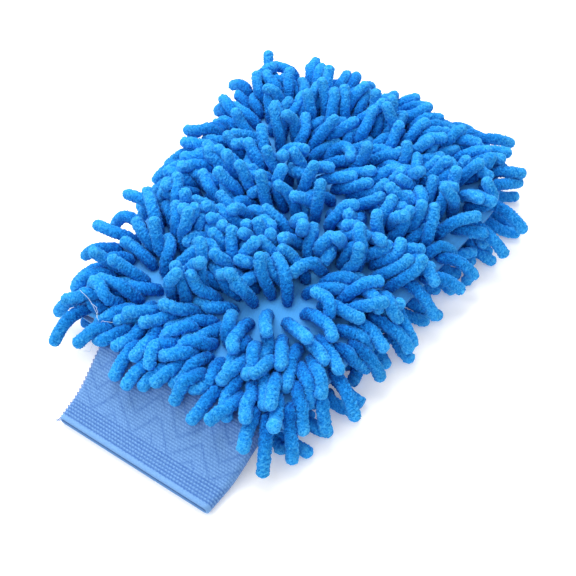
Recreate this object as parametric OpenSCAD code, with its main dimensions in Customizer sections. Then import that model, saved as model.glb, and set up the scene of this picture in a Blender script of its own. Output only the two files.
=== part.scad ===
// Chenille wash mitt: two tufted shell panels, a lining pocket and an elastic knit cuff.
// Millimetres. X runs across the palm, +Y to the fingertips, +Z up, and the mitt lies on Z = 0.

/* [Body] */
// Width of the shell across the fingertips
far_width = 192; // [180:1:198]
// Width of the shell where the cuff joins it
near_width = 142; // [134:1:146]
// Length of the shell from the cuff seam to the fingertips
body_len = 246; // [236:1:250]
// Corner radius at the fingertips
far_corner_r = 46; // [40:1:50]
// How far the shell lies to one side of the cuff's middle
body_shift = -9; // [-10:0.5:0]

/* [Cloth] */
// Thickness of the tufted backing cloth
backing_t = 1.2; // [1:0.1:1.4]
// Thickness of the lining cloth
lining_t = 1.0; // [0.7:0.1:1.1]
// Height of the pocket for the hand
pocket_h = 6; // [6:0.5:7]

/* [Pile] */
// Diameter of one chenille noodle where it has room
noodle_d = 6.8; // [6.2:0.1:6.8]
// Length of a noodle on the upper side
upper_len = 28.5; // [25:0.5:28.5]
// Length of a noodle on the lower side
lower_len = 26.5; // [25:0.5:26.5]
// Distance between noodles along a row
noodle_pitch = 10.2; // [10.2:0.1:12]

/* [Cuff] */
// Width of the flat cuff at its mouth
mouth_width = 100; // [92:1:102]
// Length of the cuff from its mouth to the seam
cuff_len = 52; // [48:1:58]
// Thickness of each double-knit cuff wall
cuff_wall = 1.5; // [1.3:0.1:1.6]
// Height of the gap inside the flat cuff
cuff_gap = 5.4; // [5.2:0.1:5.6]

/* [Hidden] */
rows = 24;                // rows of noodles on each side
max_r = noodle_d / 2;
least_r = 2.3;            // a crowded noodle is squeezed to no less than this
foot_h = 2.4;             // height of a noodle's lower centre above the backing
fit_gap = 0.04;           // room between two noodles that lie side by side
layer_gap = 0.2;          // room between shell and lining
hinge_gap = 0.4;          // room between the shell's edge and the cuff's end
thread = 0.5;             // width of the sewing thread
floor_clear = 0.3;        // the cuff's mouth lies this far above the surface
arc_steps = 3;            // facets on a quarter turn of a noodle's end

// Heights of the layers above the mid plane, at the flat middle of the mitt
lining_top_h = pocket_h / 2 + lining_t;
backing_low_h = lining_top_h + layer_gap;
backing_top_h = backing_low_h + backing_t;

// The mid plane's height lets the lower pile's tips touch Z = 0 at half the noodle's length
lower_axis = lower_len - noodle_d;
upper_axis = upper_len - noodle_d;
mid_z = backing_top_h + foot_h + lower_axis / 2 + max_r;

// Plan outline: straight sides that widen to round fingertip corners
y_near = 0;
y_far = body_len;
tail = 30;                // the outline runs this far past the seam, where it is cut off
far_c = [far_width / 2 - far_corner_r, y_far - far_corner_r];
near_edge = [near_width / 2, y_near];
to_edge = near_edge - far_c;
side_a = atan2(to_edge.y, to_edge.x) + acos(far_corner_r / norm(to_edge));
side_n = [cos(side_a), sin(side_a)];
side_d = side_n * near_edge;

// Half of the outline, drawn in by s, from the tail round to the middle of the fingertips
function half_outline(s) = concat(
    [[(side_d - s - side_n.y * (y_near - tail)) / side_n.x, y_near - tail]],
    [for (i = [0 : 9]) let (a = side_a + (90 - side_a) * i / 9)
        far_c + (far_corner_r - s) * [cos(a), sin(a)]]);

// How far a point lies inside the outline
function inset(x, y) =
    let (p = [abs(x), y], q = p - far_c, a = atan2(q.y, q.x))
    (q.y > 0 && q.x > 0 || a > side_a && a < 90) ? far_corner_r - norm(q)
                                                 : min(side_d - side_n * p, y_far - y);

// Dome of the layers: [distance inside the outline, share of the full height]
flat_from = 18;
slice_t = 0.02;           // thickness of the slices that a dome is built over
dome = [[0, 0.45], [6, 0.82], [12, 0.96], [flat_from, 1]];
function dome_h(s, full) = full * lookup(s, dome);

// ---- Pile ----
first_row = 4;            // from the cuff seam to the first row
edge_room = 5;            // no noodle stands closer to the outline
row_pitch = (body_len - first_row - edge_room - 2) / (rows - 1);
function row_y(j) = y_near + first_row + j * row_pitch;
function row_xs(j) =
    let (n = ceil(far_width / 2 / noodle_pitch), off = (j % 2) * noodle_pitch / 2)
    [for (k = [-n : n]) let (x = k * noodle_pitch + off)
        if (inset(x, row_y(j)) > edge_room) x];

// A noodle leans outward from the middle, more so near the edge
lean_centre = [-8, y_near + body_len * 0.66];
function outward(x, y) =
    let (v = [(x - lean_centre.x) / pow(far_width / 2, 2), (y - lean_centre.y) / pow(body_len / 2, 2)])
    norm(v) < 1e-6 ? [0, 1] : v / norm(v);
// Lean from upright by distance from the edge, in degrees
lean = [[0, 104], [6, 94], [16, 57], [28, 55], [40, 52], [60, 44], [200, 34]];
wave = 5;                 // the pile's slow waves, in degrees of lean
jitter = 1.0;             // each noodle's own scatter, in degrees
function edge_reach(x, y) = min(inset(x, y), y - y_near + 2);
function wave_x(x, y) = sin(3.3 * x + 2.1 * y + 40) + 0.5 * sin(2.2 * y - 4.6 * x);
function wave_y(x, y) = sin(2.6 * y - 2.4 * x + 110) + 0.5 * sin(5.1 * y + 1.7 * x);
function scatter(j, k) = rands(-jitter, jitter, 2, 100 * j + k + 7);
function steer(v) =       // a direction from a lean vector in degrees
    let (a = norm(v), u = a < 1e-6 ? [1, 0] : v / a) [sin(a) * u.x, sin(a) * u.y, cos(a)];
function upper_dir(x, y, j, k) =
    let (s = edge_reach(x, y), calm = lookup(s, [[6, 0.1], [36, 1]]))
    steer(lookup(s, lean) * outward(x, y)
          + calm * wave * [wave_x(x, y), wave_y(x, y)] + calm * scatter(j, k));
// The lower noodles fan out from the cuff, each bent flat until its tip meets Z = 0
function lower_dir(x, foot) =
    let (a = acos((foot.z - max_r) / lower_axis),
         v = [x / pow(far_width / 2, 2), (foot.y - y_near + 12) / pow(body_len / 1.6, 2)])
    [sin(a) * v.x / norm(v), sin(a) * v.y / norm(v), -cos(a)];

function upper_foot(x, y) = [x, y, mid_z + dome_h(inset(x, y), backing_top_h) + foot_h];
function lower_foot(x, y) = [x, y, mid_z - dome_h(inset(x, y), backing_top_h) - foot_h];

// Each noodle is [foot, the way from its foot to its tip's centre]
function upper_noodles(j) =
    let (xs = row_xs(j), y = row_y(j))
    [for (k = [0 : len(xs) - 1])
        [upper_foot(xs[k], y), upper_axis * upper_dir(xs[k], y, j, k)]];
function lower_noodles(j) =
    let (y = row_y(j))
    [for (x = row_xs(j)) let (foot = lower_foot(x, y)) [foot, lower_axis * lower_dir(x, foot)]];
upper_pile = [for (j = [0 : rows - 1]) each upper_noodles(j)];
lower_pile = [for (j = [0 : rows - 1]) each lower_noodles(j)];

// Least distance between the axes of two noodles
function unit_clamp(v) = max(0, min(1, v));
function axis_gap(m, n) =
    let (r = m[0] - n[0], a = m[1] * m[1], b = m[1] * n[1], c = n[1] * n[1],
         f = m[1] * r, g = n[1] * r, den = a * c - b * b,
         s0 = den < 1e-6 ? 0 : unit_clamp((b * g - c * f) / den),
         t = unit_clamp((b * s0 + g) / c),
         s = unit_clamp((b * t - f) / a))
    norm(r + s * m[1] - t * n[1]);

// A noodle is as thick as its closest neighbour leaves room for
function fitted_r(m, pile) =
    min(max_r, min([for (n = pile)
        if (n[0] != m[0] && norm(n[0] - m[0]) < 60) axis_gap(m, n)]) / 2 - fit_gap / 2);

// The footprint, from the cuff's mouth to the furthest upper tip, is centred on the origin
y_mouth = y_near - hinge_gap - cuff_len;
upper_tips = [for (n = upper_pile) n[0] + n[1]];
shift_y = -(y_mouth + max([for (p = upper_tips) p.y]) + max_r) / 2;

// ---- Shell and lining ----
module outline(s) {
    half = half_outline(s);
    last = len(half) - 1;
    polygon(concat(half, [for (i = [last : -1 : 0]) [-half[i].x, half[i].y]]));
}

module slice(z, s) {
    translate([0, 0, z]) linear_extrude(slice_t) outline(s);
}

// Everything under a dome of this full height, down to the given floor
module under_dome(full, floor_z, spread = 0) {
    hull() {
        slice(floor_z, -spread);
        for (d = dome) slice(dome_h(d[0], full) - slice_t, d[0] - (d[0] == 0 ? spread : 0));
    }
}

// One cloth of the mitt: the space between two domes, cut off at the cuff seam
module cloth(low, high) {
    rim = dome_h(0, low);
    intersection() {
        difference() {
            under_dome(high, rim);
            under_dome(low, rim - 1, 1);
        }
        translate([-far_width, y_near, 0]) cube([2 * far_width, 2 * body_len, 2 * high]);
    }
}

module on_body() {
    translate([body_shift, shift_y, 0]) children();
}

module on_cuff() {
    translate([0, shift_y, 0]) children();
}

module upper_layer() {
    on_body() translate([0, 0, mid_z]) children();
}

module lower_layer() {
    on_body() translate([0, 0, mid_z]) mirror([0, 0, 1]) children();
}

module top_panel() {
    color("DeepSkyBlue") upper_layer() cloth(backing_low_h, backing_top_h);
}

module bottom_panel() {
    color("DeepSkyBlue") lower_layer() cloth(backing_low_h, backing_top_h);
}

module lining_top() {
    color("LightSteelBlue") upper_layer() cloth(pocket_h / 2, lining_top_h);
}

module lining_bottom() {
    color("LightSteelBlue") lower_layer() cloth(pocket_h / 2, lining_top_h);
}

// The overcast edges of the four cloths, turned to the inside round the rim and beside the cuff
module edge_seam() {
    half_h = dome_h(0, pocket_h / 2) - 0.05;
    seam_w = 4;
    color("RoyalBlue") on_body() {
        translate([0, 0, mid_z - half_h]) linear_extrude(2 * half_h) intersection() {
            difference() {
                outline(0.2);
                outline(seam_w);
            }
            translate([-far_width, y_near]) square([2 * far_width, 2 * body_len]);
        }
        for (side = [-1, 1])
            corner_seam(side, near_width / 2 - seam_w - 0.5, seam_w);
    }
}

// The seam that shuts the shell from the cuff's side out to the rim
module corner_seam(side, rim_x, width) {
    half_h = 2;
    cuff_x = cuff_half(y_near - hinge_gap) - side * body_shift + 0.5;
    translate([(side < 0 ? -rim_x : cuff_x), y_near, mid_z - half_h])
        cube([rim_x - cuff_x, width, 2 * half_h]);
}

// The overcast edge inside the pocket's mouth, where the cuff is sewn on
module cuff_join_seam() {
    seam_t = 0.5;
    seam_len = 3.5;
    half_w = near_width / 2 - flat_from;
    color("RoyalBlue") {
        upper_layer() seam_strip(half_w, seam_len, seam_t);
        lower_layer() seam_strip(half_w, seam_len, seam_t);
    }
}

// A flat strip of seam against the pocket's roof
module seam_strip(half_w, length, thickness) {
    translate([-half_w, y_near, pocket_h / 2 - layer_gap / 4 - thickness])
        cube([2 * half_w, length, thickness]);
}

// ---- Noodles ----
// Half section of a round end, from angle a0 over a quarter turn
function round_end(r, z, a0) = [for (i = [0 : arc_steps]) let (a = a0 + 90 * i / arc_steps)
    [max(0, r * cos(a)), z + r * sin(a)]];

module noodle(n, pile) {
    r = max(least_r, fitted_r(n, pile));
    yaw = atan2(n[1].y, n[1].x);
    axis_len = norm(n[1]);
    translate(n[0]) rotate([0, acos(n[1].z / axis_len), yaw])
        rotate_extrude($fn = 32) polygon(concat(round_end(r, 0, -90), round_end(r, axis_len, 0)));
}

module upper_row(j) {
    color("DodgerBlue") on_body() for (n = upper_noodles(j)) noodle(n, upper_pile);
}

module lower_row(j) {
    color("DodgerBlue") on_body() for (n = lower_noodles(j)) noodle(n, lower_pile);
}

// ---- Cuff ----
fall_len = 38;            // the cuff comes down to the surface over this length
cuff_h = cuff_gap / 2 + cuff_wall;
seam_z = mid_z - 1.2;
mouth_z = cuff_h + floor_clear;
flare = 5;                // extra half width of the cuff at the seam
function cuff_half(y) = mouth_width / 2 + flare * (y - y_mouth) / cuff_len;
function cuff_z(y) =
    let (t = unit_clamp((y_near - hinge_gap - y) / fall_len))
    mouth_z + (seam_z - mouth_z) * (1 + cos(180 * t)) / 2;

// A flat tube's filling along the cuff's line, with half height h, drawn in at its sides
module cuff_filling(h, side_in, y0, y1) {
    steps = 16;
    ys = [for (i = [0 : steps]) y0 + (y1 - y0) * i / steps];
    back = [for (i = [steps : -1 : 0]) ys[i]];
    intersection() {
        rotate([90, 0, 90]) linear_extrude(2 * mouth_width, center = true)
            polygon(concat([for (y = ys) [y, cuff_z(y) - h]], [for (y = back) [y, cuff_z(y) + h]]));
        linear_extrude(mid_z + 20) polygon([
            for (p = [[1, y0], [1, y1], [-1, y1], [-1, y0]])
                [p[0] * (cuff_half(p[1]) - side_in), p[1]]]);
    }
}

module cuff_knit() {
    y_end = y_near - hinge_gap;
    color("CornflowerBlue") on_cuff() difference() {
        cuff_filling(cuff_h, 0, y_mouth, y_end);
        cuff_filling(cuff_gap / 2, cuff_wall, y_mouth - 1, y_end + 1);
    }
}

// The knit band is closed to a loop by stitches along its -X edge
module cuff_closing_thread() {
    pitch = 3;
    sunk = 0.3;
    stitch_h = 2.2;
    count = floor((cuff_len - 4) / pitch);
    color("RoyalBlue") on_cuff() for (i = [0 : count - 1])
        let (y = y_mouth + 3 + i * pitch)
        translate([sunk - thread - cuff_half(y), y, cuff_z(y) - stitch_h])
            cube([thread, thread, 2 * stitch_h]);
}

top_panel();
bottom_panel();
lining_top();
lining_bottom();
cuff_knit();
edge_seam();
cuff_join_seam();
cuff_closing_thread();
for (j = [0 : rows - 1]) {
    name = str("pile_row_", j < 9 ? "0" : "", j + 1);
    upper_row(j);
    lower_row(j);
}
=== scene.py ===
import math

import bmesh
import bpy
import numpy as np
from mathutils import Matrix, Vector
from mathutils.bvhtree import BVHTree


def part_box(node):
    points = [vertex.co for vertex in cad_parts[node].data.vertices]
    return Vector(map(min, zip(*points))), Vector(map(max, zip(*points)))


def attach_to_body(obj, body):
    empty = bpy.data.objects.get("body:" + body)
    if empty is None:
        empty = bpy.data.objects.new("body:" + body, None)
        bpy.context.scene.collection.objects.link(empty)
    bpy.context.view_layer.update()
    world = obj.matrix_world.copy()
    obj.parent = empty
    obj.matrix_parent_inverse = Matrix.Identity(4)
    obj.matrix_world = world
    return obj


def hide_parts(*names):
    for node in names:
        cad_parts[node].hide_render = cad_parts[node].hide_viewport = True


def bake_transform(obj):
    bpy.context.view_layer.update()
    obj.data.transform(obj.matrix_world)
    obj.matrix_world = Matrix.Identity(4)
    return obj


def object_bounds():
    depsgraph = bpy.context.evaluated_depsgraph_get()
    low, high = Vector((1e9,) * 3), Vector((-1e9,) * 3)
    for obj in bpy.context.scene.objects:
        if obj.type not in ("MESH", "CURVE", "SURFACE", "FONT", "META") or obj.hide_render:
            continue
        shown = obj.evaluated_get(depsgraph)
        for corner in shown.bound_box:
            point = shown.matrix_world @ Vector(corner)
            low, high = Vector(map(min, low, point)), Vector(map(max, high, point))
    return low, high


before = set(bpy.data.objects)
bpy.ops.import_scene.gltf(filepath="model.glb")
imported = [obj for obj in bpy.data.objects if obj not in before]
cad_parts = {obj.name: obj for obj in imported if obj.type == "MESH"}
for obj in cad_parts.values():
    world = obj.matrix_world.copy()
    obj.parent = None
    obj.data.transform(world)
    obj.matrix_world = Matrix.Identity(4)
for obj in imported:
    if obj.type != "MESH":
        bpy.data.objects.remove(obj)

bl_info = {
    "name": "Chenille Wash Mitt",
    "version": (1, 0, 0),
    "blender": (4, 5, 0),
    "location": "View3D > Sidebar > Wash Mitt",
    "description": "Builds the pile, shell, lining, seams and knit cuff of a chenille wash mitt",
    "category": "Add Mesh",
}

MM = 0.001
CAD_BOX = [list(corner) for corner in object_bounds()]
ROWS = sum(name.startswith("upper_pile_row_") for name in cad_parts)
SEAM_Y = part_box("top_panel")[0].y
MOUTH_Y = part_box("cuff_knit")[0].y
MIDDLE_Z = (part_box("edge_seam")[0].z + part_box("edge_seam")[1].z) / 2
# The pile rows over the cloth that bends between the mitt and the cuff; they are put on no body.
FLEXING_ROWS = 4
# How deep a noodle is rooted in its cloth.
ROOT_DEPTH = 0.3 * MM
# Straight rays start this far from the mitt.
RAY_START = 0.3
# How the upper pile lies: a place in millimetres, a heading from +X and a lift in degrees.
LIE = [
    (-40, -90, -130, 0), (-50, -78, -155, 5), (-68, -60, -170, 12), (-88, -25, -155, 20),
    (-87, 18, -155, 15), (-80, 53, -160, 10), (-85, 90, 130, 28), (-72, 110, 120, 30),
    (-63, -37, 95, 60), (-44, -66, 123, 55), (-50, -12, 160, 62), (-22, -50, 117, 52),
    (5, -56, 180, 28), (18, -35, 160, 48), (28, -28, 123, 50), (42, -8, 123, 58),
    (0, -8, -170, 42), (-18, 30, 170, 52), (-46, 37, 150, 58), (-50, 120, 100, 35),
    (-25, 95, 68, 48), (0, 125, 65, 35), (48, 118, 65, 30), (-30, 72, 47, 20),
    (3, 58, 35, 30), (54, 65, 100, 58), (52, 90, 55, 42), (68, 82, 15, 28),
    (78, 98, 30, 4), (83, 68, -25, 8), (83, 37, -12, 0), (48, 35, 110, 60),
    (11, 23, -65, 60), (60, 10, 15, 22), (52, -8, 8, 5), (38, -38, 0, 0),
    (30, -52, -35, 5), (20, -80, -97, 5), (5, -68, -118, 0), (46, -80, -75, 0),
    (56, -82, -40, -5), (66, -62, -15, 0), (75, -37, 8, -5), (8, -104, -122, -5),
    (-30, -104, -116, -5), (40, -102, -85, -5)]
LIE_REACH = 17 * MM
LIE_OF_ROW = 0.16
# Where noodles lie apart and show the cloth: two ends in millimetres, and how strongly.
PARTINGS = [((2, -64), (38, -27), 0.42), ((-72, -50), (-60, -68), 0.9),
            ((-38, 58), (-12, 62), 1.0), ((-80, 45), (-78, 68), 0.8), ((60, 24), (70, 52), 0.3)]
PARTED = 2.6 * MM
PARTING_REACH = 11 * MM
# Upper noodles at the shell's rounded edge are rooted further out and are longer.
EDGE_ROOM = 1.5 * MM
EDGE_REACH = 4.5 * MM
LOWER_RIM_REACH = 2 * MM
# Each pulled fibre's two ends in millimetres.
STRAY_FIBRES = [((-76, -102), (-58, -109)), ((-70, -116), (-50, -106)), ((-68, -103), (-61, -108))]


# ------------ settings

LENGTH = {"unit": "LENGTH"}
ANGLE = {"subtype": "ANGLE"}
COLOUR = {"subtype": "COLOR", "size": 3}


class PileSettings(bpy.types.PropertyGroup):
    """Sizes and colours of the chenille noodles"""

    thickness: bpy.props.FloatProperty(
        name="Thickness", description="Diameter of one noodle", default=7.1 * MM, **LENGTH)
    longest: bpy.props.FloatProperty(
        name="Longest", description="Length of the longest noodle", default=33 * MM, **LENGTH)
    shortest: bpy.props.FloatProperty(
        name="Shortest", description="Length of the shortest noodle", default=27 * MM, **LENGTH)
    nub_height: bpy.props.FloatProperty(
        name="Nub Height", description="Height of the looped yarn's nubs",
        default=0.80 * MM, **LENGTH)
    scatter: bpy.props.FloatProperty(
        name="Scatter", description="How far noodles stray from the lie of their row",
        default=math.radians(14), **ANGLE)
    # Painted shade: this darker blue between the nubs stands in for the shade in their pits.
    pit_shade_blue: bpy.props.FloatVectorProperty(
        name="Deep Blue", description="Colour between the nubs", default=(0.0005, 0.074, 0.365),
        **COLOUR)
    body: bpy.props.FloatVectorProperty(
        name="Blue", description="Colour of the yarn", default=(0.012, 0.266, 0.785), **COLOUR)
    # Painted highlight: this pale blue on the nubs' crests stands in for the light falling on them.
    crest: bpy.props.FloatVectorProperty(
        name="Crest Blue", description="Colour of the nubs' crests", default=(0.090, 0.555, 0.985),
        **COLOUR)


class ClothSettings(bpy.types.PropertyGroup):
    """Colours of the backing cloth and the lining"""

    backing: bpy.props.FloatVectorProperty(
        name="Backing", description="Colour of the tufted cloth", default=(0.070, 0.36, 0.80),
        **COLOUR)
    lining: bpy.props.FloatVectorProperty(
        name="Lining", description="Colour of the pocket's lining", default=(0.15, 0.29, 0.58),
        **COLOUR)
    thickness: bpy.props.FloatProperty(
        name="Thickness", description="Thickness of the backing cloth", default=1.0 * MM, **LENGTH)


class CuffSettings(bpy.types.PropertyGroup):
    """Sizes and colours of the knit cuff"""

    wall: bpy.props.FloatProperty(
        name="Wall", description="Thickness of the folded knit", default=1.5 * MM, **LENGTH)
    flat_height: bpy.props.FloatProperty(
        name="Flat Height", description="Height of the flat cuff at its mouth",
        default=6.4 * MM, **LENGTH)
    bold_pitch: bpy.props.FloatProperty(
        name="Bold Pitch", description="Distance between the bold ribs near the mouth",
        default=1.87 * MM, **LENGTH)
    fine_pitch: bpy.props.FloatProperty(
        name="Fine Pitch", description="Distance between the fine ribs",
        default=1.50 * MM, **LENGTH)
    groove: bpy.props.FloatVectorProperty(
        name="Groove", description="Colour between the ribs", default=(0.046, 0.142, 0.41),
        **COLOUR)
    rib: bpy.props.FloatVectorProperty(
        name="Rib", description="Colour of the ribs", default=(0.172, 0.360, 0.67), **COLOUR)


class StageSettings(bpy.types.PropertyGroup):
    """Light and camera"""

    lens: bpy.props.FloatProperty(
        name="Lens", description="Focal length in millimetres", default=56.25)
    distance: bpy.props.FloatProperty(
        name="Distance", description="From the camera to what it looks at", default=0.551, **LENGTH)
    elevation: bpy.props.FloatProperty(
        name="Elevation", description="Height of the camera above the horizon",
        default=math.radians(52), **ANGLE)
    azimuth: bpy.props.FloatProperty(
        name="Azimuth", description="Way the camera stands round the mitt",
        default=math.radians(33), **ANGLE)
    sky: bpy.props.FloatProperty(
        name="Sky", description="Strength of the light from all round", default=0.79)
    key: bpy.props.FloatProperty(
        name="Key", description="Power of the large soft lamp in watts", default=22.5)


# ------------ helpers

def unit(v):
    return v / np.maximum(np.linalg.norm(v, axis=-1, keepdims=True), 1e-12)


def smooth(edge0, edge1, x):
    t = np.clip((x - edge0) / (edge1 - edge0), 0, 1)
    return t * t * (3 - 2 * t)


def mesh_from_grids(name, rings, poles=None, **values):
    """A mesh of tubes: rings is (count, length, around, 3), and poles cap both ends."""
    count, length, around, _ = rings.shape
    per = length * around + (2 if poles is not None else 0)
    verts = rings.reshape(count, -1, 3)
    if poles is not None:
        verts = np.concatenate([verts, poles], axis=1)
    i, j = np.meshgrid(np.arange(length - 1), np.arange(around), indexing="ij")
    k = (j + 1) % around
    quads = np.stack([i * around + j, i * around + k, (i + 1) * around + k,
                      (i + 1) * around + j], -1).reshape(-1, 4)
    shift = (np.arange(count) * per)[:, None, None]
    faces = (quads[None] + shift).reshape(-1)
    totals = np.full(count * len(quads), 4)
    if poles is not None:
        j = np.arange(around)
        k = (j + 1) % around
        last = (length - 1) * around
        root = np.stack([np.full(around, length * around), k, j], -1)
        tip = np.stack([np.full(around, length * around + 1), last + j, last + k], -1)
        caps = np.concatenate([root, tip])
        faces = np.concatenate([faces, (caps[None] + shift).reshape(-1)])
        totals = np.concatenate([totals, np.full(count * len(caps), 3)])
    mesh = bpy.data.meshes.new(name)
    mesh.vertices.add(count * per)
    mesh.vertices.foreach_set("co", verts.reshape(-1).astype(np.float32))
    mesh.loops.add(len(faces))
    mesh.loops.foreach_set("vertex_index", faces.astype(np.int32))
    mesh.polygons.add(len(totals))
    starts = np.concatenate([[0], np.cumsum(totals)[:-1]])
    mesh.polygons.foreach_set("loop_start", starts.astype(np.int32))
    mesh.polygons.foreach_set("use_smooth", np.ones(len(totals), bool))
    mesh.update(calc_edges=True)
    for key, grid in values.items():
        flat = grid.reshape(count, -1)
        if poles is not None:
            flat = np.concatenate([flat, flat[:, :1], flat[:, -1:]], axis=1)
        layer = mesh.attributes.new(key, "FLOAT", "POINT")
        layer.data.foreach_set("value", flat.reshape(-1).astype(np.float32))
    mesh.validate()
    piece = bpy.data.objects.new(name, mesh)
    bpy.context.scene.collection.objects.link(piece)
    return piece


def along(points, count):
    """Evenly spaced places on smooth curves through points, (n, k, 3) to (n, count, 3)."""
    k = points.shape[1]
    u = np.linspace(0, k - 1, count)
    i = np.clip(u.astype(int), 0, k - 2)
    t = (u - i)[None, :, None]
    ext = np.concatenate([2 * points[:, :1] - points[:, 1:2], points,
                          2 * points[:, -1:] - points[:, -2:-1]], axis=1)
    a, b, c, d = ext[:, i], ext[:, i + 1], ext[:, i + 2], ext[:, i + 3]
    return 0.5 * (2 * b + (c - a) * t + (2 * a - 5 * b + 4 * c - d) * t ** 2
                  + (3 * b - a - 3 * c + d) * t ** 3)


def frames_along(centres, seed_normal):
    """Tangents and two normals that don't twist along each curve."""
    tangent = unit(np.gradient(centres, axis=1))
    normal = np.empty_like(tangent)
    normal[:, 0] = unit(seed_normal - (seed_normal * tangent[:, 0]).sum(-1, keepdims=True)
                        * tangent[:, 0])
    for i in range(1, centres.shape[1]):
        n = normal[:, i - 1]
        normal[:, i] = unit(n - (n * tangent[:, i]).sum(-1, keepdims=True) * tangent[:, i])
    return tangent, normal, np.cross(tangent, normal)


def spokes(normal, side, count):
    """Unit spokes round every centre of each curve."""
    turn = np.linspace(0, 2 * math.pi, count, endpoint=False)
    return (np.cos(turn)[None, None, :, None] * normal[:, :, None]
            + np.sin(turn)[None, None, :, None] * side[:, :, None])


def threads(name, points, radius, count, sides=5, taper=0.0):
    """Round threads of one radius through points, (n, k, 3)."""
    centres = along(points, count)
    _, normal, side = frames_along(centres, np.tile([0.31, 0.17, 0.93], (len(points), 1)))
    r = radius * (1 - taper * np.linspace(0, 1, count) ** 2)[None, :, None, None]
    rings = centres[:, :, None] + r * spokes(normal, side, sides)
    poles = np.stack([centres[:, 0], centres[:, -1]], axis=1)
    return mesh_from_grids(name, rings, poles=poles)


def overcast_turns(loops):
    """The angle along a thread wound in loops, 12 places to each."""
    return np.linspace(0, 2 * math.pi * loops, loops * 12)


def ray_z(tree, x, y, side):
    """Where a straight ray from above (side 1) or below (-1) meets a surface, or None."""
    hit = tree.ray_cast(Vector((x, y, side * RAY_START)), Vector((0, 0, -side)))[0]
    return None if hit is None else hit.z


# ------------ materials

class Recipe:
    """A node material being put together."""

    def __init__(self, name):
        self.material = bpy.data.materials.new(name)
        self.material.use_nodes = True
        self.tree = self.material.node_tree
        self.shader = self.tree.nodes["Principled BSDF"]
        self.place = self.node("ShaderNodeTexCoord").outputs["Object"]

    def node(self, kind, **settings):
        node = self.tree.nodes.new(kind)
        for key, value in settings.items():
            setattr(node, key, value)
        return node

    def link(self, source, target):
        self.tree.links.new(source, target)

    def feed(self, node, **inputs):
        for key, value in inputs.items():
            socket = node.inputs[key.replace("_", " ")]
            if isinstance(value, bpy.types.NodeSocket):
                self.link(value, socket)
            else:
                socket.default_value = value
        return node

    def noise(self, scale, detail=2.0, roughness=0.5):
        node = self.node("ShaderNodeTexNoise")
        self.feed(node, Vector=self.place, Scale=scale, Detail=detail, Roughness=roughness)
        return node.outputs["Fac"]

    def value(self, name):
        return self.node("ShaderNodeAttribute", attribute_name=name).outputs["Fac"]

    def maths(self, operation, a, b=0.5, third=0.0):
        """One sum on sockets or numbers; b and third count only where the operation has them."""
        node = self.node("ShaderNodeMath", operation=operation)
        for socket, value in zip(node.inputs, (a, b, third)):
            if isinstance(value, bpy.types.NodeSocket):
                self.link(value, socket)
            else:
                socket.default_value = value
        return node.outputs[0]

    def ramp(self, factor, stops):
        node = self.node("ShaderNodeValToRGB")
        ramp = node.color_ramp
        while len(ramp.elements) < len(stops):
            ramp.elements.new(0.5)
        for element, (place, colour) in zip(ramp.elements, stops):
            element.position = place
            element.color = (*colour, 1)
        self.link(factor, node.inputs["Fac"])
        return node.outputs["Color"]

    def bright(self, colour, factor):
        """The colour with its value multiplied by a factor."""
        node = self.node("ShaderNodeHueSaturation")
        self.feed(node, Color=colour, Value=factor)
        return node.outputs["Color"]

    def bump(self, height, strength, distance):
        node = self.node("ShaderNodeBump")
        self.feed(node, Height=height, Strength=strength, Distance=distance)
        self.link(node.outputs["Normal"], self.shader.inputs["Normal"])

    def finish(self, colour, roughness, sheen=0.0, sheen_tint=(1, 1, 1), sheen_roughness=0.4,
               specular=0.3):
        self.link(colour, self.shader.inputs["Base Color"])
        self.shader.inputs["Roughness"].default_value = roughness
        self.shader.inputs["Sheen Weight"].default_value = sheen
        self.shader.inputs["Sheen Tint"].default_value = (*sheen_tint, 1)
        self.shader.inputs["Sheen Roughness"].default_value = sheen_roughness
        self.shader.inputs["Specular IOR Level"].default_value = specular
        return self.material


def chenille(settings, name):
    """Looped microfibre yarn with fuzz: painted shade in the pits and at the roots, painted light
    on the crests and tips.
    """
    r = Recipe(name)
    grain = r.noise(1250, 2.5, 0.65)
    # The value read here carries painted shade (pits, roots) and painted light (crests, tips); the
    # grain adds random tone.
    nub = r.maths("ADD", r.maths("MULTIPLY", r.value("nub"), 0.42),
                  r.maths("MULTIPLY_ADD", grain, 1.0, third=-0.145))
    colour = r.ramp(nub, [(0.10, settings.pit_shade_blue), (0.55, settings.body), (1.0, settings.crest)])
    tone = r.maths("ADD", r.maths("MULTIPLY", r.value("tone"), 0.16), 0.92)
    colour = r.bright(colour, tone)
    r.bump(r.maths("ADD", grain, r.maths("MULTIPLY", r.noise(3200, 1.0), 0.6)), 0.85, 0.45 * MM)
    return r.finish(colour, 0.92, sheen=0.14, sheen_tint=(0.40, 0.72, 1.0), sheen_roughness=0.45,
                    specular=0.06)


def woven(name, colour, pitch, depth, sheen):
    """Flat cloth with a fine two-way weave and slow changes of tone."""
    r = Recipe(name)
    split = r.node("ShaderNodeSeparateXYZ")
    r.link(r.place, split.inputs[0])
    turn = 2 * math.pi / pitch
    weave = r.maths("MULTIPLY",
                    r.maths("SINE", r.maths("MULTIPLY", split.outputs["X"], turn)),
                    r.maths("SINE", r.maths("MULTIPLY", split.outputs["Y"], turn)))
    fuzz = r.noise(700, 3.0, 0.6)
    height = r.maths("ADD", r.maths("MULTIPLY", weave, 0.5), fuzz)
    tone = r.maths("ADD", r.maths("MULTIPLY", height, 0.14), 0.92)
    plain = r.node("ShaderNodeRGB")
    plain.outputs[0].default_value = (*colour, 1)
    r.bump(height, 0.5, depth)
    return r.finish(r.bright(plain.outputs[0], tone), 0.9, sheen=sheen,
                    sheen_tint=(0.7, 0.85, 1.0), specular=0.15)


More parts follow.
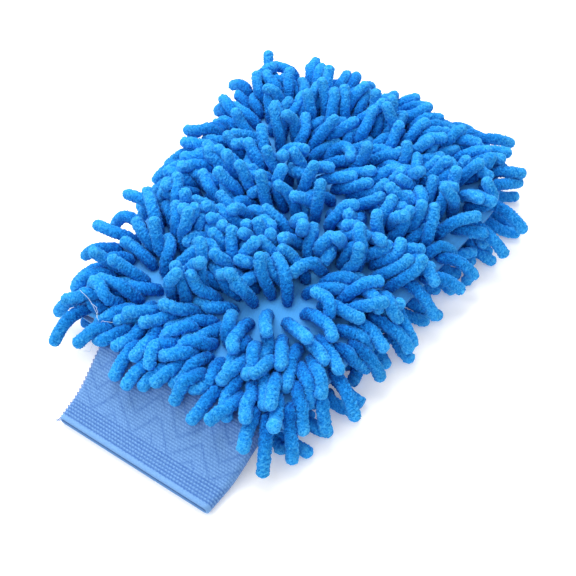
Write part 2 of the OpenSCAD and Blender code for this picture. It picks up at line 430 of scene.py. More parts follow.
def ribbed_knit(settings, name):
    """Elastic knit: pale rib crests and darker grooves, with the yarn's own grain."""
    r = Recipe(name)
    grain = r.noise(1700, 2.0, 0.6)
    crest = r.maths("ADD", r.maths("MULTIPLY", r.value("crest"), 0.8),
                    r.maths("MULTIPLY", grain, 0.28))
    colour = r.ramp(crest, [(0.1, settings.groove), (0.9, settings.rib)])
    tone = r.maths("ADD", r.maths("MULTIPLY", r.noise(60, 2.0), 0.12), 0.94)
    r.bump(grain, 0.35, 0.25 * MM)
    return r.finish(r.bright(colour, tone), 0.78, sheen=0.25, sheen_tint=(0.8, 0.88, 1.0),
                    specular=0.25)


def sewing_thread(name, colour):
    """Twisted polyester thread with a faint gloss."""
    r = Recipe(name)
    twist = r.noise(2600, 1.0)
    r.bump(twist, 0.4, 0.1 * MM)
    shade = r.ramp(twist, [(0.3, tuple(0.75 * c for c in colour)), (0.7, colour)])
    return r.finish(shade, 0.55, sheen=0.1, specular=0.4)


# ------------ the frame's pieces

def welded(node):
    """A CAD node's corners, welded by place, and its edges."""
    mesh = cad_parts[node].data
    co = np.empty(len(mesh.vertices) * 3)
    mesh.vertices.foreach_get("co", co)
    ends = np.empty(len(mesh.edges) * 2, int)
    mesh.edges.foreach_get("vertices", ends)
    co = co.reshape(-1, 3)
    _, first, place = np.unique(np.round(co / 1e-6).astype(np.int64), axis=0,
                                return_index=True, return_inverse=True)
    return co[first], place.reshape(-1)[ends].reshape(-1, 2)


def solids_of(node):
    """The separate solids of a CAD node, each as its corners."""
    co, edges = welded(node)
    label = np.arange(len(co))
    while True:
        low = np.minimum(label[edges[:, 0]], label[edges[:, 1]])
        new = label.copy()
        np.minimum.at(new, edges[:, 0], low)
        np.minimum.at(new, edges[:, 1], low)
        new = new[new]
        if (new == label).all():
            return [co[label == one] for one in np.unique(label)]
        label = new


def axis_of(points):
    """The two end centres of a round-ended noodle."""
    centre = points.mean(0)
    spread = points - centre
    axis = np.linalg.eigh(spread.T @ spread)[1][:, -1]
    far = spread @ axis
    r = np.linalg.norm(spread - far[:, None] * axis, axis=1).max()
    return centre + axis * (far.min() + r), centre + axis * (far.max() - r)


def tree_of(node):
    """A search tree over a CAD node's faces."""
    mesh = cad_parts[node].data
    return BVHTree.FromPolygons([v.co.copy() for v in mesh.vertices],
                                [list(p.vertices) for p in mesh.polygons])


class HeightMap:
    """The height of a node's upper (side 1) or lower (-1) face over a grid, far off beside it."""

    STEP = 2 * MM
    MARGIN = 12 * MM

    def __init__(self, node, side):
        tree = tree_of(node)
        lo, hi = CAD_BOX
        self.lo = np.array(lo[:2]) - self.MARGIN
        size = np.ceil((np.array(hi[:2]) + self.MARGIN - self.lo) / self.STEP).astype(int) + 1
        self.z = np.full(size, -side, float)
        for i in range(size[0]):
            for j in range(size[1]):
                x, y = self.lo + self.STEP * np.array([i, j])
                z = ray_z(tree, x, y, side)
                if z is not None:
                    self.z[i, j] = z

    def at(self, x, y):
        """The height at any place, between the grid's four nearest."""
        u = np.clip((x - self.lo[0]) / self.STEP, 0, self.z.shape[0] - 1.001)
        v = np.clip((y - self.lo[1]) / self.STEP, 0, self.z.shape[1] - 1.001)
        i, j = u.astype(int), v.astype(int)
        s, t = u - i, v - j
        z = self.z
        return ((1 - s) * (1 - t) * z[i, j] + s * (1 - t) * z[i + 1, j]
                + (1 - s) * t * z[i, j + 1] + s * t * z[i + 1, j + 1])


# ------------ the pile

class Pile:
    """All noodles of both sides as flexible chains, settled against each other."""

    LINKS = 8
    ROUNDS = 90
    LAST_ROUNDS = 15
    SPRING = 0.04
    LAST_SPRING = 0.2
    SMOOTHING = 0.08
    GRAVITY = 0.09 * MM
    PRESSED = 0.96

    def __init__(self, settings):
        self.radius = settings.thickness / 2
        self.rest = self.radius + 0.85 * settings.nub_height
        self.top = HeightMap("top_panel", 1)
        self.under = HeightMap("bottom_panel", -1)
        self.cuff = HeightMap("cuff_knit", 1)
        rng = np.random.default_rng(11)
        feet, ways, sides, rows = [], [], [], []
        for side, prefix in ((1, "upper"), (-1, "lower")):
            for row in range(1, ROWS + 1):
                for solid in solids_of(f"{prefix}_pile_row_{row:02d}"):
                    a, b = axis_of(solid)
                    foot, tip = self.foot_first(a, b, side)
                    feet.append(foot)
                    ways.append(unit(tip - foot))
                    sides.append(side)
                    rows.append(row)
        self.side = np.array(sides)
        self.row = np.array(rows)
        feet, ways = np.array(feet), np.array(ways)
        count = len(feet)
        surface = np.where(self.side > 0, self.top.at(feet[:, 0], feet[:, 1]),
                           self.under.at(feet[:, 0], feet[:, 1]))
        roots = np.column_stack([feet[:, :2], surface - self.side * ROOT_DEPTH])
        spread = self.parted(feet)
        roots[:, :2] += PARTED * spread
        ways = self.combed(ways, feet)
        edge = self.edge_share(roots[:, 2])
        roots[:, :2] += EDGE_ROOM * edge[:, None] * unit(ways[:, :2])
        ways[:, :2] += 0.6 * spread
        ways = self.tousled(ways, feet, rng, math.tan(settings.scatter))
        slack = (1 - 0.55 * edge)[:, None]
        curl = rng.normal(size=(count, 3)) * 0.13 * rng.uniform(0.3, 1.7, (count, 1)) * slack
        hook = rng.normal(size=(count, 3)) * 0.10 * slack
        sag = rng.uniform(0.5, 1.7, count) * 0.19 * edge + 0.05
        length = rng.uniform(settings.shortest, settings.longest, count)
        length = length + np.where(self.side > 0, EDGE_REACH * edge, LOWER_RIM_REACH * self.rim)
        self.step = (length - self.radius) / (self.LINKS - 1)
        up = np.column_stack([np.zeros(count), np.zeros(count), self.side])
        chain = [roots]
        for k in range(self.LINKS - 1):
            rise = max(0.0, 1 - k / 2) * (0.8 - 0.45 * edge)[:, None]
            droop = np.column_stack([np.zeros(count), np.zeros(count), -sag * k])
            lean = unit(ways + rise * up + k * curl / 2 + max(0, k - 3) * hook + droop)
            chain.append(chain[-1] + lean * self.step[:, None])
        self.start = np.stack(chain, axis=1)
        self.points = self.start.copy()
        self.pairs = self.close_pairs(feet)
        self.settle()

    def edge_share(self, height):
        """1 for upper noodles at the shell's rounded edge, 0 for all others."""
        drop = self.top.z.max() - height
        return smooth(0.1 * MM, 1.2 * MM, drop) * (self.side > 0)

    def combed(self, ways, feet):
        """The upper pile follows the ways it was combed, and the rest keeps its row's lie."""
        x, y, heading, lift = np.array(LIE, float).T
        heading, lift = np.radians(heading), np.radians(lift)
        lie = np.column_stack([np.cos(heading) * np.cos(lift), np.sin(heading) * np.cos(lift),
                               np.sin(lift)])
        gap = np.hypot(feet[:, :1] - x * MM, feet[:, 1:2] - y * MM) / LIE_REACH
        share = np.exp(-gap ** 2) * (self.side > 0)[:, None]
        combed = unit(share @ lie + LIE_OF_ROW * ways)
        lo, hi = (np.array(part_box("bottom_panel")[k][:2]) for k in (0, 1))
        off = (feet[:, :2] - (lo + hi) / 2) / ((hi - lo) / 2)
        off[:, 1] = np.maximum(off[:, 1], 0)
        outward = np.sign(off) * np.abs(off) ** 5 / ((hi - lo) / 2) * 0.1
        rim = smooth(0.62, 0.85, np.linalg.norm(off ** 2, axis=1) ** 0.5) * (self.side < 0)
        self.rim = rim
        outward = np.column_stack([unit(outward + 1e-9), np.full(len(feet), -0.12)])
        return unit(combed + 2.5 * rim[:, None] * outward)

    def parted(self, feet):
        """How each upper root is pushed away from the partings."""
        shift = np.zeros((len(feet), 2))
        for (x0, y0), (x1, y1), push in PARTINGS:
            start, run = np.array([x0, y0]) * MM, np.array([x1 - x0, y1 - y0]) * MM
            share = np.clip((feet[:, :2] - start) @ run / (run @ run), 0, 1)
            away = feet[:, :2] - start - share[:, None] * run
            far = np.linalg.norm(away, axis=1)
            pull = push * np.exp(-(far / PARTING_REACH) ** 2) * (self.side > 0)
            shift += pull[:, None] * away / np.maximum(far, 1 * MM)[:, None]
        return shift

    def tousled(self, ways, feet, rng, scatter):
        """Stray directions: each noodle's own, and slow drifts that make clumps."""
        count = len(feet)
        tidy = 0.35 + 0.65 * smooth(12 * MM, 40 * MM, feet[:, 1] - SEAM_Y)[:, None]
        ways = ways + scatter * tidy * rng.normal(size=(count, 3)) * [1, 1, 0.7]
        for _ in range(7):
            turn = rng.uniform(0, 2 * math.pi, 3)
            wave = 2 * math.pi / rng.uniform(34 * MM, 80 * MM)
            phase = (feet[:, 0] * math.cos(turn[0]) + feet[:, 1] * math.sin(turn[0])) * wave
            swing = 0.10 * np.sin(phase + turn[1]) * tidy[:, 0]
            ways[:, 0] += swing * math.cos(turn[2])
            ways[:, 1] += swing * math.sin(turn[2])
        astray = rng.uniform(size=count) < 0.04
        turn = rng.choice([-1, 1], count) * rng.uniform(0.8, 1.9, count) * astray
        x, y = ways[:, 0].copy(), ways[:, 1].copy()
        ways[:, 0] = x * np.cos(turn) - y * np.sin(turn)
        ways[:, 1] = x * np.sin(turn) + y * np.cos(turn)
        return unit(ways)

    def foot_first(self, a, b, side):
        """A noodle's two ends, the one by its cloth first."""
        height = self.top if side > 0 else self.under
        off = [abs(side * (p[2] - height.at(p[0], p[1])) - 2.4 * MM) for p in (a, b)]
        return (a, b) if off[0] < off[1] else (b, a)

    def close_pairs(self, feet):
        """Pairs of chain points of different noodles that might ever meet."""
        gap = np.linalg.norm(feet[:, None, :2] - feet[None, :, :2], axis=-1)
        i, j = np.nonzero(np.triu(gap < 52 * MM, 1))
        k = np.arange(1, self.LINKS)
        a, b = np.meshgrid(k, k, indexing="ij")
        first = (i[:, None] * self.LINKS + a.ravel()[None]).ravel()
        second = (j[:, None] * self.LINKS + b.ravel()[None]).ravel()
        return first, second

    def settle(self):
        """Noodles spring back, sag, push each other apart and keep their length."""
        p = self.points
        reach = 2 * self.radius * self.PRESSED
        weight = np.linspace(0, 1, self.LINKS)[None, :] ** 1.5
        for turn in range(self.ROUNDS):
            if turn % 8 == 0:
                flat = p.reshape(-1, 3)
                gap = np.linalg.norm(flat[self.pairs[0]] - flat[self.pairs[1]], axis=1)
                first, second = (pair[gap < 2.2 * reach] for pair in self.pairs)
            hold = 1 if turn < self.ROUNDS - self.LAST_ROUNDS else self.LAST_SPRING
            p += self.SPRING * (self.start - p) * hold
            p[:, 2:-1] += self.SMOOTHING * ((p[:, 1:-2] + p[:, 3:]) / 2 - p[:, 2:-1])
            p[..., 2] -= self.GRAVITY * weight
            self.push_apart(p, first, second, reach)
            self.keep_clear(p)
            p[:, 0] = self.start[:, 0]
            for k in range(1, self.LINKS):
                p[:, k] = p[:, k - 1] + unit(p[:, k] - p[:, k - 1]) * self.step[:, None]
        self.keep_clear(p)

    @staticmethod
    def push_apart(p, first, second, reach):
        """Moves each pair of points that is nearer than reach apart."""
        flat = p.reshape(-1, 3)
        d = flat[first] - flat[second]
        gap = np.maximum(np.linalg.norm(d, axis=1), 1e-9)
        hit = gap < reach
        first, second, d, gap = first[hit], second[hit], d[hit], gap[hit]
        push = d * (0.5 * (reach - gap) / gap)[:, None]
        total = np.zeros_like(flat)
        tally = np.bincount(first, minlength=len(flat)) + np.bincount(second, minlength=len(flat))
        for axis in range(3):
            total[:, axis] = (np.bincount(first, push[:, axis], len(flat))
                              - np.bincount(second, push[:, axis], len(flat)))
        flat += 1.5 * total / np.maximum(tally, 1)[:, None] ** 0.7

    def keep_clear(self, p):
        """Noodles lie on the shell, on the cuff and on the surface, and never in them."""
        x, y, z = p[:, 1:, 0], p[:, 1:, 1], p[:, 1:, 2]
        floor = np.full(z.shape, self.rest)
        floor = np.maximum(floor, self.cuff.at(x, y) + self.radius)
        upper = (self.side > 0)[:, None]
        rise = np.minimum(1, np.arange(1, self.LINKS) / 2)[None] * self.radius * 0.9
        above = np.maximum(floor, self.top.at(x, y) + rise)
        ceiling = np.maximum(self.under.at(x, y) - rise, self.rest)
        z[:] = np.where(upper, np.maximum(z, above), np.clip(z, self.rest, ceiling))

    def rows_of(self, side, row):
        return np.nonzero((self.side == side) & (self.row == row))[0]


SETTLED = {}


def settled_pile(settings):
    if "pile" not in SETTLED:
        SETTLED["pile"] = Pile(settings)
    return SETTLED["pile"]


ROOT_TAPER = 0.72
# Painted shade: how much darker a noodle is coloured towards its root. Painted light: how much
# paler towards its tip.
ROOT_SHADE = 0.95
TIP_PAINTED_LIGHT = 0.28
SWELLS = 9


def noodle_row(name, pile, members, settings, body_rings, cap_rings, sides, seed):
    """One row of chenille noodles as nubbly swept tubes, with painted shade at the root and painted
    light at the tip.
    """
    rng = np.random.default_rng(seed)
    points = pile.points[members]
    n = len(points)
    centres = along(points, body_rings)
    tangent, normal, side = frames_along(centres, rng.normal(size=(n, 3)))
    quarter = np.linspace(0, math.pi / 2, cap_rings + 2)[1:-1]
    tip = centres[:, -1:] + tangent[:, -1:] * (pile.radius * np.sin(quarter))[None, :, None]
    centres = np.concatenate([centres, tip], axis=1)
    normal = np.concatenate([normal, np.repeat(normal[:, -1:], cap_rings, 1)], axis=1)
    side = np.concatenate([side, np.repeat(side[:, -1:], cap_rings, 1)], axis=1)
    rings = body_rings + cap_rings
    place = np.linspace(0, 1, body_rings)
    taper = np.concatenate([ROOT_TAPER + (1 - ROOT_TAPER) * smooth(0, 0.16, place),
                            np.cos(quarter)])
    swell = rng.normal(size=(n, SWELLS))
    swell = np.stack([np.interp(np.linspace(0, SWELLS - 1, rings), np.arange(SWELLS), s)
                      for s in swell])
    ring_size = pile.radius * taper[None] * (1 + 0.012 * swell)
    crest = nubs(rng, n, rings, sides)
    lift = settings.nub_height * crest * np.minimum(1, taper * 1.3)[None, :, None]
    r = ring_size[:, :, None] + lift - 0.35 * settings.nub_height
    grid = centres[:, :, None] + r[..., None] * spokes(normal, side, sides)
    poles = np.stack([centres[:, 0], centres[:, -1] + tangent[:, -1] * pile.radius * 0.06], axis=1)
    tone = np.broadcast_to(rng.uniform(0, 1, n)[:, None, None], crest.shape)
    place = np.linspace(0, 1, rings)
    # Painted shade towards the root and painted light towards the tip, added to the nubs' values,
    # whose pits and crests colour as painted shade and a painted highlight.
    pale = TIP_PAINTED_LIGHT * smooth(0.6, 1, place) - ROOT_SHADE * (1 - smooth(0, 0.7, place))
    nub = (crest - NUB_PIT) / (1 - NUB_PIT) + pale[None, :, None]
    return mesh_from_grids(name, grid, poles=poles, nub=nub, tone=tone)


NUB_PIT = -0.4


def nubs(rng, count, rings, sides):
    """Uneven nubs of looped yarn, from NUB_PIT in the pits to 1 on the crests."""
    cells = rng.uniform(NUB_PIT, 1.0, (count, (rings + 1) // 2, sides))
    field = (0.6 * np.repeat(cells, 2, axis=1)[:, :rings]
             + 0.4 * rng.uniform(-0.8, 1.4, (count, rings, sides)))
    return np.clip(field, NUB_PIT, 1)


# ------------ shell and lining

def panel_sheet(node, side, thickness, columns, rows, inset=0.0, tuck=0.0):
    """A thin cloth over a CAD panel's outer face. Its rim is drawn in by inset, and turned
    towards the other side's cloth over the width tuck, where the two are sewn together."""
    tree = tree_of(node)
    lo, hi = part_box(node)
    mid_x = (lo.x + hi.x) / 2
    far = hi.y - inset
    ys = np.concatenate([np.linspace(lo.y, far - 4 * MM, rows - 7),
                         np.linspace(far - 3.4 * MM, far, 7)])
    us = np.sin(np.linspace(-math.pi / 2, math.pi / 2, columns))
    grid = np.zeros((2, rows, columns, 3))
    for i, y in enumerate(ys):
        ray_y = float(np.clip(y, lo.y + 0.1 * MM, hi.y - 0.1 * MM))
        half = half_width(tree, mid_x, ray_y, lo, hi) * 0.998 - inset
        for j, u in enumerate(us):
            x = mid_x + u * half
            z = ray_z(tree, x, ray_y, side)
            if z is None:
                z = lo.z if side > 0 else hi.z
            if tuck:
                from_rim = min(half * (1 - abs(u)), far - y)
                share = math.sqrt(max(0, 1 - (1 - min(1, from_rim / tuck)) ** 2))
                rim_z = MIDDLE_Z + side * (thickness + 0.35 * MM)
                z = rim_z + (z - rim_z) * share
            grid[0, i, j] = (x, y, z)
    calm = smooth(0, 0.08, 1 - np.abs(us))[None] * smooth(
        0, 0.06, 1 - np.abs(np.linspace(-1, 1, rows)))[:, None]
    waves = (np.sin(grid[0, ..., 0] * 260) * np.sin(grid[0, ..., 1] * 235 + 1)) * 0.25 * MM
    grid[0, ..., 2] += side * (waves * calm - 0.3 * MM)
    grid[1] = grid[0]
    grid[1, ..., 2] -= side * thickness
    ring = np.concatenate([grid[0], grid[1][:, ::-1]], axis=1)[None]
    if side < 0:
        ring = ring[:, ::-1]
    piece = mesh_from_grids(f"{node}_cloth", ring)
    close_ends(piece)
    return piece


def half_width(tree, mid_x, y, lo, hi):
    """Half the panel's width at y, found between its middle and its box."""
    inside, outside = 0.0, (hi.x - lo.x) / 2 + MM
    for _ in range(24):
        middle = (inside + outside) / 2
        if ray_z(tree, mid_x + middle, y, 1) is None:
            outside = middle
        else:
            inside = middle
    return inside


def close_ends(piece):
    """Closes a tube's two open ends with strips of faces."""
    mesh = bmesh.new()
    mesh.from_mesh(piece.data)
    loose = [edge for edge in mesh.edges if edge.is_boundary]
    bmesh.ops.holes_fill(mesh, edges=loose, sides=0)
    bmesh.ops.recalc_face_normals(mesh, faces=mesh.faces)
    mesh.to_mesh(piece.data)
    mesh.free()


# ------------ cuff

class CuffLine:
    """The cuff's half width, middle and half height along its length, from the CAD cuff."""

    def __init__(self, settings):
        tree = tree_of("cuff_knit")
        self.y = np.linspace(MOUTH_Y + 0.2 * MM, SEAM_Y - 0.6 * MM, 60)
        tops, unders = (np.array([ray_z(tree, 0, y, side) for y in self.y]) for side in (1, -1))
        rise = (tops + unders) / 2
        self.half = np.array([
            tree.ray_cast(Vector((RAY_START, y, z)), Vector((-1, 0, 0)))[0].x
            for y, z in zip(self.y, rise)])
        share = smooth(0, 30 * MM, self.y - MOUTH_Y)
        self.height = settings.flat_height / 2 * (1 + 0.15 * share)
        self.z = rise - (1 - share) * (rise[0] - self.height[0] - 0.2 * MM)

    def at(self, y):
        return (np.interp(y, self.y, self.half), np.interp(y, self.y, self.z),
                np.interp(y, self.y, self.height))


def stadium(half, height, around):
    """Points round a flat tube's section from the middle of its top, with normals and arc."""
    straight = half - height
    arc = math.pi * height / 2
    quarter = straight + arc
    s = np.linspace(0, 4 * quarter, around, endpoint=False)
    q = (s // quarter).astype(int)
    t = s - q * quarter
    back = np.where(q % 2 == 1, quarter - t, t)
    a = np.clip((back - straight) / height, 0, math.pi / 2)
    x = np.where(back < straight, back, straight + height * np.sin(a))
    z = np.where(back < straight, height, height * np.cos(a))
    nx, nz = np.where(back < straight, 0, np.sin(a)), np.where(back < straight, 1, np.cos(a))
    sx = np.where(q >= 2, -1, 1)
    sz = np.where((q == 1) | (q == 2), -1, 1)
    return np.stack([x * sx, z * sz], -1), np.stack([nx * sx, nz * sz], -1), s


def cuff_relief(settings, t, s):
    """The knit's height at t from the mouth and s round the band, and its crest value."""
    bold_end = 13.8 * MM
    fold = 2.6 * MM
    bold_dash, fine_dash = 2.0 * MM, 1.9 * MM
    zigzag_width, zigzag_depth, zigzag_pitch, line = 27 * MM, 13 * MM, 9.5 * MM, 0.9 * MM
    bold = smooth(bold_end + MM, bold_end - MM, t) * smooth(fold - 0.4 * MM, fold + 0.6 * MM, t)
    fine = smooth(bold_end - MM, bold_end + MM, t)
    rib_b = 0.5 + 0.5 * np.cos(2 * math.pi * (t - fold) / settings.bold_pitch)
    row_b = np.floor((t - fold) / settings.bold_pitch + 0.5)
    dash_b = 0.5 + 0.5 * np.cos(2 * math.pi * (s / bold_dash + 0.37 * row_b))
    rib_f = 0.5 + 0.5 * np.cos(2 * math.pi * (t - bold_end) / settings.fine_pitch)
    row_f = np.floor((t - bold_end) / settings.fine_pitch + 0.5)
    dash_f = 0.5 + 0.5 * np.cos(2 * math.pi * (s / fine_dash + 0.5 * row_f))
    swing = 2 * np.abs((s / zigzag_width) % 1 - 0.5)
    zigzag = (t - bold_end - zigzag_depth * swing) / zigzag_pitch
    band = np.exp(-((zigzag - np.round(zigzag)) * zigzag_pitch / line) ** 2)
    crest = (bold * rib_b * (0.30 + 0.70 * dash_b)
             + fine * (0.24 + 0.70 * rib_f * (0.45 + 0.55 * dash_f)) * (1 - 0.55 * band)
             + (1 - bold - fine) * 0.85)
    lift = (bold * 0.50 + fine * 0.15) * MM * (crest - 0.5) + (1 - bold - fine) * 0.1 * MM
    return lift, crest


def cuff_tube(settings):
    """The folded knit band: a ribbed outer layer, a rolled mouth and a plain inner layer."""
    line = CuffLine(settings)
    around = 440
    length = SEAM_Y - MOUTH_Y
    rolled = 1.0 * MM
    t_out = np.linspace(rolled, length, 170)
    t_in = np.linspace(rolled + 0.2 * MM, length, 40)
    rings, crests = [], []
    for t in t_in[::-1]:
        rings.append(cuff_ring(line, t, settings.wall, around, 0, settings)[0])
        crests.append(np.full(around, 0.35))
    for a in np.linspace(-math.pi / 2, math.pi / 2, 9)[1:-1]:
        depth = settings.wall / 2 * (1 - math.sin(a))
        t = rolled - settings.wall * 0.62 * math.cos(a)
        rings.append(cuff_ring(line, t, depth, around, 0, settings)[0])
        crests.append(np.full(around, 0.8))
    rng = np.random.default_rng(23)
    for t in t_out:
        ring, crest = cuff_ring(line, t, 0, around, 1, settings)
        loops = rng.uniform(-1, 1, around)
        ring[:, 2] += 0.07 * MM * loops * np.sign(ring[:, 2] - ring[:, 2].mean())
        rings.append(ring)
        crests.append(crest + 0.26 * loops)
    grid = np.array(rings)[None]
    return mesh_from_grids("knit_cuff", grid[:, ::-1], crest=np.array(crests)[None][:, ::-1])


def cuff_ring(line, t, depth, around, relief, settings):
    """One ring of the band, depth below its surface, and its crest values."""
    half, z, height = line.at(MOUTH_Y + t)
    flat, out, s = stadium(float(half), float(height), around)
    lift, crest = cuff_relief(settings, np.full(around, t), s)
    sides = 1 - 0.65 * np.abs(out[:, 0])
    flat = flat + out * (relief * lift * sides - depth)[:, None]
    y = np.full(around, MOUTH_Y + t)
    return np.column_stack([flat[:, 0], y, z + flat[:, 1]]), crest


# ------------ operators

def attach(piece, material, node=None, body="mitt"):
    """Gives a piece its material, hides the CAD node it stands for, and puts it on the body it
    rides on. Without a body, its place is baked into its mesh."""
    piece.data.materials.append(material)
    if body:
        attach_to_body(piece, body)
    else:
        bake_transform(piece)
    if node:
        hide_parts(node)


def lay_rows(context, prefix, side, flexing, body_rings, cap_rings, sides, seed):
    """Lays one side's rows of noodles, of which the first ones are put on no body."""
    settings = context.scene.mitt_pile
    pile = settled_pile(settings)
    material = chenille(settings, f"chenille_{prefix}")
    for row in range(1, ROWS + 1):
        piece = noodle_row(f"{prefix}_noodles_{row:02d}", pile, pile.rows_of(side, row),
                           settings, body_rings, cap_rings, sides, seed + row)
        attach(piece, material, f"{prefix}_pile_row_{row:02d}",
               body=None if row <= flexing else "mitt")


class MITT_OT_upper_pile(bpy.types.Operator):
    """Lays the upper side's rows of noodles"""

    bl_idname = "mitt.upper_pile"
    bl_label = "Upper Pile"

    def execute(self, context):
        lay_rows(context, "upper", 1, FLEXING_ROWS, body_rings=64, cap_rings=6, sides=28, seed=100)
        return {"FINISHED"}


class MITT_OT_lower_pile(bpy.types.Operator):
    """Lays the lower side's rows of noodles"""

    bl_idname = "mitt.lower_pile"
    bl_label = "Lower Pile"

    def execute(self, context):
        lay_rows(context, "lower", -1, 0, body_rings=38, cap_rings=4, sides=18, seed=300)
        return {"FINISHED"}


def lay_cloths(top, bottom, material, slot, **shape):
    """Makes an upper and a lower cloth."""
    for node, side in ((top, 1), (bottom, -1)):
        piece = panel_sheet(node, side, **shape)
        attach(piece, material, node)


class MITT_OT_shell(bpy.types.Operator):
    """Makes the two tufted backing cloths"""

    bl_idname = "mitt.shell"
    bl_label = "Backing Cloths"

    def execute(self, context):
        settings = context.scene.mitt_cloth
        material = woven("backing_cloth", settings.backing, 1.3 * MM, 0.25 * MM, 0.06)
        lay_cloths("top_panel", "bottom_panel", material, "backing",
                   thickness=settings.thickness, columns=96, rows=132, tuck=3 * MM)
        return {"FINISHED"}


class MITT_OT_lining(bpy.types.Operator):
    """Makes the two cloths that line the hand pocket"""

    bl_idname = "mitt.lining"
    bl_label = "Lining Cloths"

    def execute(self, context):
        settings = context.scene.mitt_cloth
        material = woven("lining_cloth", settings.lining, 0.9 * MM, 0.15 * MM, 0.15)
        lay_cloths("lining_top", "lining_bottom", material, "lining",
                   thickness=0.7 * MM, columns=72, rows=96, inset=3.6 * MM)
        return {"FINISHED"}


class MITT_OT_cuff(bpy.types.Operator):
    """Knits the elastic cuff"""

    bl_idname = "mitt.cuff"
    bl_label = "Knit Cuff"

    def execute(self, context):
        settings = context.scene.mitt_cuff
        piece = cuff_tube(settings)
        close_ends(piece)
        attach(piece, ribbed_knit(settings, "ribbed_elastic_knit"), "cuff_knit",
               body=None)
        return {"FINISHED"}


class MITT_OT_seams(bpy.types.Operator):
    """Sews the rim seam and the cuff's seams, with their loose thread ends and pulled fibres"""

    bl_idname = "mitt.seams"
    bl_label = "Seams"

    def execute(self, context):
        cuff = context.scene.mitt_cuff
        thread = sewing_thread("blue_thread", (0.10, 0.24, 0.62))
        attach(rim_seam(), thread, "edge_seam")
        attach(join_seam(), thread, "cuff_join_seam", body=None)
        attach(closing_stitches(cuff), thread, "cuff_closing_thread", body=None)
        pale = sewing_thread("pale_fibre", (0.66, 0.84, 0.96))
        attach(stray_fibres(settled_pile(context.scene.mitt_pile)), pale)
        attach(frayed_end(cuff), thread, body="cuff")
        return {"FINISHED"}


def stray_fibres(pile):
    """A few pulled fibres lying over the noodles beside the cuff."""
    rng = np.random.default_rng(31)
    points = pile.points[pile.side > 0].reshape(-1, 3)
    lines = []
    for start, end in STRAY_FIBRES:
        share = np.linspace(0, 1, 14)[:, None]
        way = np.array(start) * MM + share * (np.array(end) - np.array(start)) * MM
        across = unit(np.array([way[0, 1] - way[-1, 1], way[-1, 0] - way[0, 0]]))
        bow = rng.uniform(-2.5, 2.5) * MM * np.sin(math.pi * share)
        way = way + bow * across + rng.normal(size=way.shape) * 0.15 * MM
        heights = []
        for place in way:
            near = points[np.linalg.norm(points[:, :2] - place, axis=1) < 4.5 * MM]
            heights.append(near[:, 2].max() + pile.radius + 0.5 * MM if len(near) else 1 * MM)
        heights = np.convolve(np.pad(heights, 3, "edge"), np.ones(7) / 7, "valid")
        lines.append(np.column_stack([way, heights]))
    return threads("stray_fibres", np.array(lines), 0.15 * MM, 60, taper=0.4)


def frayed_end(settings):
    """Loose ends of the closing thread at the corner of the cuff's mouth."""
    rng = np.random.default_rng(37)
    half, z, height = CuffLine(settings).at(MOUTH_Y + 1.5 * MM)
    count = 9
    start = np.array([-half + 0.4 * MM, MOUTH_Y + 1.2 * MM, z])
    start = start + rng.uniform(-1, 1, (count, 3)) * [0.3 * MM, 1.6 * MM, 0.6 * height]
    way = unit(np.array([-0.7, -0.7, -0.1]) + 0.45 * rng.normal(size=(count, 3)))
    curl = rng.normal(size=(count, 3)) * 0.5
    reach = rng.uniform(1.5, 4.0, count) * MM
    share = np.linspace(0, 1, 6)
    lines = (start[:, None] + reach[:, None, None] * share[None, :, None]
             * (way[:, None] + share[None, :, None] * curl[:, None]))
    lines[..., 2] = np.clip(lines[..., 2], 0.3 * MM, None)
    return threads("frayed_thread", lines, 0.13 * MM, 16, taper=0.3)


def rim_seam():
    """Overcast thread wound round the four cloths' edges, as slanted loops."""
    lo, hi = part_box("edge_seam")
    middle = Vector(((lo.x + hi.x) / 2, (lo.y + hi.y) / 2, MIDDLE_Z))
    tree = tree_of("edge_seam")
    outside = 0.4
    loop_pitch = 2.4 * MM
    bite = 1.6 * MM
    path = []
    for angle in np.linspace(-math.pi * 0.30, math.pi * 1.30, 400):
        way = Vector((math.cos(angle), math.sin(angle), 0))
        hit = tree.ray_cast(middle + way * outside, -way)[0]
        if hit is not None:
            path.append(hit)
    path = np.array(path)
    steps = np.concatenate([[0], np.cumsum(np.linalg.norm(np.diff(path, axis=0), axis=1))])
    loops = int(steps[-1] / loop_pitch)
    at = np.linspace(0, steps[-1], loops * 12)
    centre = np.stack([np.interp(at, steps, path[:, k]) for k in range(3)], -1)
    tangent = unit(np.gradient(centre, axis=0))
    inward = np.column_stack([-tangent[:, 1], tangent[:, 0], np.zeros(len(at))])
    turn = overcast_turns(loops)
    half_height = (hi.z - lo.z) / 2
    centre = centre + inward * (bite * (1 - np.cos(turn)))[:, None]
    centre[:, 2] += np.sin(turn) * (half_height * 0.8)
    return threads("rim_overcast", centre[None], 0.25 * MM, len(centre))


def join_seam():
    """Overcast loops along the pocket's mouth, above and below."""
    lo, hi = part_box("cuff_join_seam")
    turn = overcast_turns(40)
    x = np.linspace(lo.x, hi.x, len(turn))
    y = (lo.y + hi.y) / 2 + 1.5 * MM * np.cos(turn)
    lines = []
    for z in (lo.z + 0.3 * MM, hi.z - 0.3 * MM):
        lines.append(np.column_stack([x, y, z + 0.2 * MM * np.sin(turn)]))
    return threads("cuff_join_overcast", np.array(lines), 0.22 * MM, len(turn))


def closing_stitches(settings):
    """Zigzag stitches down the cuff's side."""
    stitches = 44
    ys = np.linspace(MOUTH_Y + 2 * MM, SEAM_Y - 3 * MM, stitches)
    half, z, height = CuffLine(settings).at(ys)
    sway = np.where(np.arange(stitches) % 2 == 0, 1, -1)
    zig = np.column_stack([-half - 0.15 * MM, ys, z + sway * 0.45 * height])
    return threads("cuff_closing_stitches", zig[None], 0.22 * MM, stitches * 6)


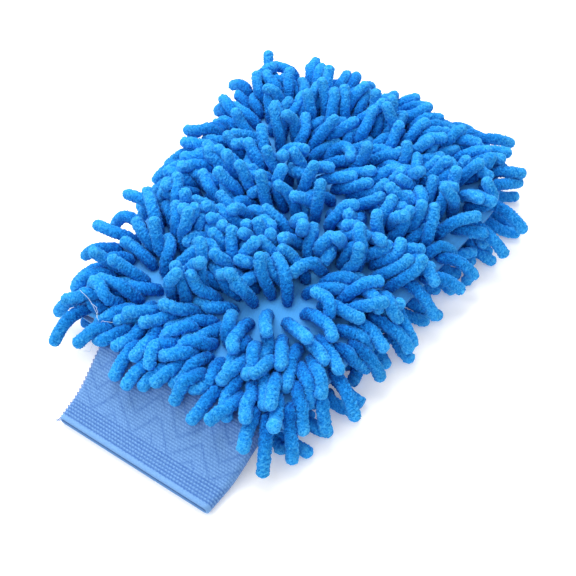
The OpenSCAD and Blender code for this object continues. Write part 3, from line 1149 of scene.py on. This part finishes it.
class MITT_OT_stage(bpy.types.Operator):
    """Sets up the floor, the light and the camera"""

    bl_idname = "mitt.stage"
    bl_label = "Stage"

    def execute(self, context):
        settings = context.scene.mitt_stage
        scene = context.scene
        floor = bpy.data.meshes.new("floor")
        far = 3.0
        floor.from_pydata([(-far, -far, 0), (far, -far, 0), (far, far, 0), (-far, far, 0)],
                          [], [(0, 1, 2, 3)])
        floor_piece = bpy.data.objects.new("floor", floor)
        scene.collection.objects.link(floor_piece)
        paint = Recipe("pale_floor")
        for socket, value in (("Base Color", (0.94, 0.94, 0.94, 1)), ("Roughness", 0.9),
                              ("Specular IOR Level", 0.1), ("Emission Color", (1, 0.99, 0.97, 1)),
                              ("Emission Strength", 0.20)):
            paint.shader.inputs[socket].default_value = value
        floor.materials.append(paint.material)

        world = bpy.data.worlds.new("studio")
        world.use_nodes = True
        light = world.node_tree.nodes["Background"].inputs
        light["Color"].default_value = (1, 1, 1, 1)
        light["Strength"].default_value = settings.sky
        scene.world = world

        self.lamp("key", (-0.70, 0.50, 1.20), 1.3, settings.key)
        self.lamp("fill", (-0.3, -1.0, 1.1), 1.2, settings.key * 0.25)

        camera = bpy.data.cameras.new("camera")
        camera.lens = settings.lens
        camera.sensor_width = 36
        a, e = settings.azimuth, settings.elevation
        back = Vector((math.sin(a) * math.cos(e), -math.cos(a) * math.cos(e), math.sin(e)))
        target = Vector((3.5 * MM, -12 * MM, 0))
        scene.camera = self.aimed(camera, target + back * settings.distance, back)
        scene.view_settings.view_transform = "Standard"
        scene.view_settings.look = "None"
        return {"FINISHED"}

    def lamp(self, name, place, size, power):
        """A round soft lamp that shines on the mitt."""
        lamp = bpy.data.lights.new(name, "AREA")
        lamp.shape = "DISK"
        lamp.size = size
        lamp.energy = power
        self.aimed(lamp, place, Vector(place))

    @staticmethod
    def aimed(data, place, back):
        """A lamp or camera at a place, looking away from back."""
        thing = bpy.data.objects.new(data.name, data)
        thing.location = place
        thing.rotation_mode = "QUATERNION"
        thing.rotation_quaternion = back.to_track_quat("Z", "Y")
        bpy.context.scene.collection.objects.link(thing)
        return thing


class MITT_PT_panel(bpy.types.Panel):
    """Lists the mitt's pieces"""

    bl_idname = "MITT_PT_panel"
    bl_label = "Wash Mitt"
    bl_space_type = "VIEW_3D"
    bl_region_type = "UI"
    bl_category = "Wash Mitt"

    def draw(self, context):
        for operator in OPERATORS:
            self.layout.operator(operator.bl_idname)
        for group in GROUPS:
            box = self.layout.box()
            box.label(text=group.__doc__)
            for key in group.__annotations__:
                box.prop(getattr(context.scene, GROUPS[group]), key)


GROUPS = {PileSettings: "mitt_pile", ClothSettings: "mitt_cloth", CuffSettings: "mitt_cuff",
          StageSettings: "mitt_stage"}
OPERATORS = (MITT_OT_stage, MITT_OT_shell, MITT_OT_lining, MITT_OT_cuff, MITT_OT_seams,
             MITT_OT_upper_pile, MITT_OT_lower_pile)


def register():
    for group, name in GROUPS.items():
        bpy.utils.register_class(group)
        setattr(bpy.types.Scene, name, bpy.props.PointerProperty(type=group))
    for operator in OPERATORS:
        bpy.utils.register_class(operator)
    bpy.utils.register_class(MITT_PT_panel)


def unregister():
    bpy.utils.unregister_class(MITT_PT_panel)
    for operator in reversed(OPERATORS):
        bpy.utils.unregister_class(operator)
    for group, name in GROUPS.items():
        delattr(bpy.types.Scene, name)
        bpy.utils.unregister_class(group)


def main():
    register()
    for step in (bpy.ops.mitt.stage, bpy.ops.mitt.shell, bpy.ops.mitt.lining, bpy.ops.mitt.cuff,
                 bpy.ops.mitt.seams, bpy.ops.mitt.upper_pile, bpy.ops.mitt.lower_pile):
        step()


if __name__ == "__main__":
    main()
